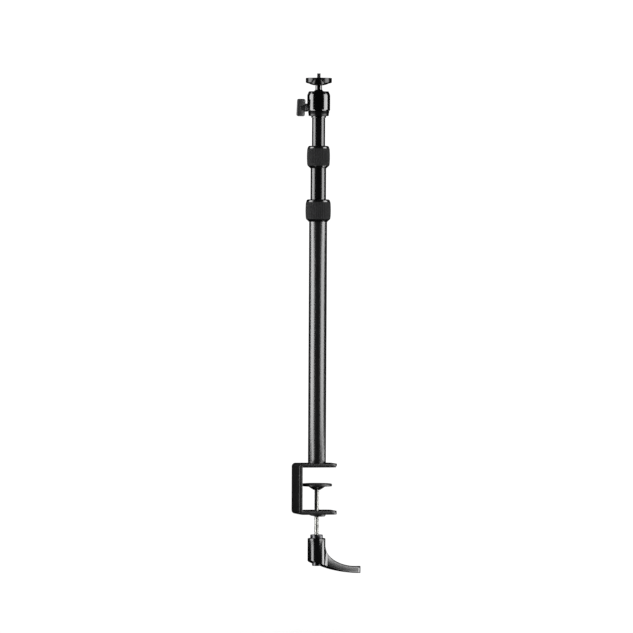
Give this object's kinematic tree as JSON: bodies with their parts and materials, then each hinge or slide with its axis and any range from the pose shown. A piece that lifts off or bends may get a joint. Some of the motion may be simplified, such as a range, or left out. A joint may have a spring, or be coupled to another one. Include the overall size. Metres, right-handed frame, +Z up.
{
  "type": "telescopic desk clamp stand",
  "caption": "Telescopic desk-clamp stand for a webcam: C-clamp, three-section twist-lock pole and a mini ball head with a camera screw.",
  "frame": {"origin": "on the pole's axis, in the plane of the desk top that the upper jaw's pad rests on", "axes": "+Z up along the pole, +X out of the clamp's throat, -X the clamp's spine and the wing knob"},
  "size_m": [0.1218, 0.0574, 0.8368],
  "materials": {
    "anodised_tube": "satin black anodised",
    "anodised_head": "gloss black anodised",
    "coated_metal": "fine matte black coating",
    "lever_metal": "smooth black coating",
    "lock_plastic": "matte black moulded",
    "grey_nylon": "natural moulded",
    "rubber": "matte black",
    "steel": "zinc plated, bright",
    "black_steel": "black oxide"
  },
  "bodies": {
    "clamp": {"clamp_bracket": "coated_metal", "jaw_pad": "rubber", "pole_bolt": "steel", "base_plug": "grey_nylon", "lower_tube": "anodised_tube", "lower_lock_sleeve": "lock_plastic"},
    "lower_collet": {"lower_collet": "grey_nylon"},
    "lower_collar": {"lower_collar": "lock_plastic"},
    "middle_guide": {"middle_guide": "grey_nylon"},
    "middle_tube": {"middle_tube": "anodised_tube", "upper_lock_sleeve": "lock_plastic"},
    "upper_collet": {"upper_collet": "grey_nylon"},
    "upper_collar": {"upper_collar": "lock_plastic"},
    "upper_guide": {"upper_guide": "grey_nylon"},
    "head": {"upper_tube": "anodised_tube", "tube_cap": "anodised_head", "head_base": "anodised_head", "ball_housing": "anodised_head"},
    "brake_shoe": {"brake_shoe": "steel"},
    "knob": {"knob_screw": "steel", "lock_knob": "lock_plastic"},
    "ball_cup": {"ball_seat": "grey_nylon"},
    "ball": {"ball_stem": "anodised_head", "camera_stud": "black_steel"},
    "plate": {"top_plate": "anodised_head", "plate_pad": "rubber"},
    "pressure_pad": {"pressure_pad": "coated_metal", "pressure_pad_rubber": "rubber"},
    "spindle": {"clamp_screw": "steel", "lever_insert": "black_steel", "retaining_screw": "black_steel"},
    "lever": {"lever_handle": "lever_metal", "return_spring": "steel"}
  },
  "joints": [
    {"name": "lower_collet_release", "type": "slide", "parent": "clamp", "child": "lower_collet", "axis": [0, 0, 1], "range_m": [0, 0.001]},
    {"name": "lower_collar_turn", "type": "hinge", "parent": "lower_collet", "child": "lower_collar", "pos_m": [0, 0, 0.4284], "axis": [0, 0, 1], "range_deg": [0, 120]},
    {"name": "middle_slide", "type": "slide", "parent": "clamp", "child": "middle_guide", "axis": [0, 0, 1], "range_m": [-0.05, 0.29]},
    {"name": "middle_turn", "type": "hinge", "parent": "middle_guide", "child": "middle_tube", "pos_m": [0, 0, 0.4284], "axis": [0, 0, 1], "continuous": true},
    {"name": "upper_collet_release", "type": "slide", "parent": "middle_tube", "child": "upper_collet", "axis": [0, 0, 1], "range_m": [0, 0.001]},
    {"name": "upper_collar_turn", "type": "hinge", "parent": "upper_collet", "child": "upper_collar", "pos_m": [0, 0, 0.5177], "axis": [0, 0, 1], "range_deg": [0, 120]},
    {"name": "upper_slide", "type": "slide", "parent": "middle_tube", "child": "upper_guide", "axis": [0, 0, 1], "range_m": [-0.045, 0.3]},
    {"name": "upper_turn", "type": "hinge", "parent": "upper_guide", "child": "head", "pos_m": [0, 0, 0.5177], "axis": [0, 0, 1], "continuous": true},
    {"name": "shoe_slide", "type": "slide", "parent": "head", "child": "brake_shoe", "axis": [-1, 0, 0], "range_m": [0, 0.001]},
    {"name": "knob_turn", "type": "hinge", "parent": "brake_shoe", "child": "knob", "pos_m": [-0.03, 0, 0.6], "axis": [-1, 0, 0], "range_deg": [0, 360]},
    {"name": "ball_pan", "type": "hinge", "parent": "head", "child": "ball_cup", "pos_m": [0, 0, 0.62], "axis": [0, 0, 1], "continuous": true},
    {"name": "ball_tilt", "type": "hinge", "parent": "ball_cup", "child": "ball", "pos_m": [0, 0, 0.62], "axis": [0, 1, 0], "range_deg": [-18, 18]},
    {"name": "plate_turn", "type": "hinge", "parent": "ball", "child": "plate", "pos_m": [0, 0, 0.64], "axis": [0, 0, 1], "continuous": true},
    {"name": "pad_travel", "type": "slide", "parent": "clamp", "child": "pressure_pad", "axis": [0, 0, 1], "range_m": [-0.033, 0.027]},
    {"name": "screw_turn", "type": "hinge", "parent": "pressure_pad", "child": "spindle", "pos_m": [0, 0, -0.09], "axis": [0, 0, 1], "range_deg": [-9360, 7560]},
    {"name": "lever_pull", "type": "slide", "parent": "spindle", "child": "lever", "axis": [0, 0, -1], "range_m": [0, 0.004], "stiffness_N_per_m": 900, "springref_m": -0.006, "deforming": ["return_spring"]}
  ],
  "couplings": [
    {"joint": "lower_collet_release", "follows": "lower_collar_turn", "m_per_rad": 0.000477},
    {"joint": "upper_collet_release", "follows": "upper_collar_turn", "m_per_rad": 0.000477},
    {"joint": "shoe_slide", "follows": "knob_turn", "m_per_rad": 0.000159},
    {"joint": "pad_travel", "follows": "screw_turn", "m_per_rad": 0.0001989}
  ]
}
